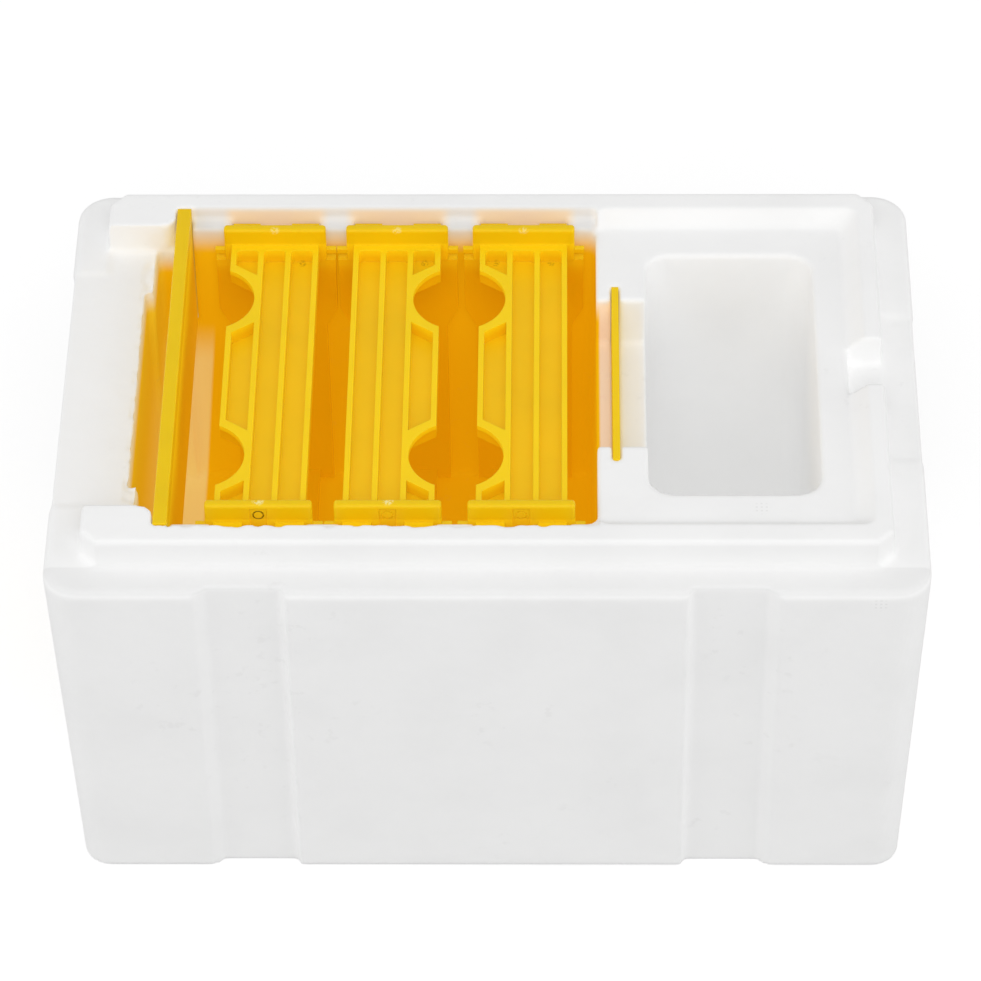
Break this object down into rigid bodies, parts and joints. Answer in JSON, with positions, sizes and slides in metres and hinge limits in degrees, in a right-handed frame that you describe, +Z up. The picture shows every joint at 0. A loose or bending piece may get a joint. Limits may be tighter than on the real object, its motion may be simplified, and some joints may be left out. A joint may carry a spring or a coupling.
{
  "type": "hive box",
  "caption": "Open foam hive box for mating queens: lift-out plastic frames hang beside a feeder pocket, with a baffle, an excluder gate and a sliding entrance shutter.",
  "frame": {"origin": "centre of the base", "axes": "+X along the box towards the feeder pocket, +Y towards the back, +Z up"},
  "size_m": [0.2448, 0.1648, 0.1305],
  "materials": {
    "foam": "white bead foam, matt",
    "yellow_plastic": "moulded yellow plastic, satin"
  },
  "bodies": {
    "hive_body": {"hive_body": "foam", "entrance_guide": "yellow_plastic", "entrance_pins": "yellow_plastic"},
    "baffle": {"entrance_baffle": "yellow_plastic"},
    "gate": {"feeder_gate": "yellow_plastic"},
    "shutter": {"entrance_shutter": "yellow_plastic"},
    "frame_1": {"frame_1_top_bar": "yellow_plastic", "frame_1_front_end_bar": "yellow_plastic", "frame_1_rear_end_bar": "yellow_plastic", "frame_1_bottom_bar": "yellow_plastic", "frame_1_pins": "yellow_plastic"},
    "frame_2": {"frame_2_top_bar": "yellow_plastic", "frame_2_front_end_bar": "yellow_plastic", "frame_2_rear_end_bar": "yellow_plastic", "frame_2_bottom_bar": "yellow_plastic", "frame_2_pins": "yellow_plastic"},
    "frame_3": {"frame_3_top_bar": "yellow_plastic", "frame_3_front_end_bar": "yellow_plastic", "frame_3_rear_end_bar": "yellow_plastic", "frame_3_bottom_bar": "yellow_plastic", "frame_3_pins": "yellow_plastic"}
  },
  "joints": [
    {"name": "frame_1_lift", "type": "slide", "parent": "hive_body", "child": "frame_1", "axis": [0, 0, 1], "range_m": [0, 0.11]},
    {"name": "frame_2_lift", "type": "slide", "parent": "hive_body", "child": "frame_2", "axis": [0, 0, 1], "range_m": [0, 0.11]},
    {"name": "frame_3_lift", "type": "slide", "parent": "hive_body", "child": "frame_3", "axis": [0, 0, 1], "range_m": [0, 0.11]},
    {"name": "baffle_lift", "type": "slide", "parent": "hive_body", "child": "baffle", "axis": [0, 0, 1], "range_m": [0, 0.046]},
    {"name": "gate_lift", "type": "slide", "parent": "hive_body", "child": "gate", "axis": [0, 0, 1], "range_m": [0, 0.026]},
    {"name": "shutter_slide", "type": "slide", "parent": "hive_body", "child": "shutter", "axis": [0, 1, 0], "range_m": [-0.0244, 0]}
  ]
}
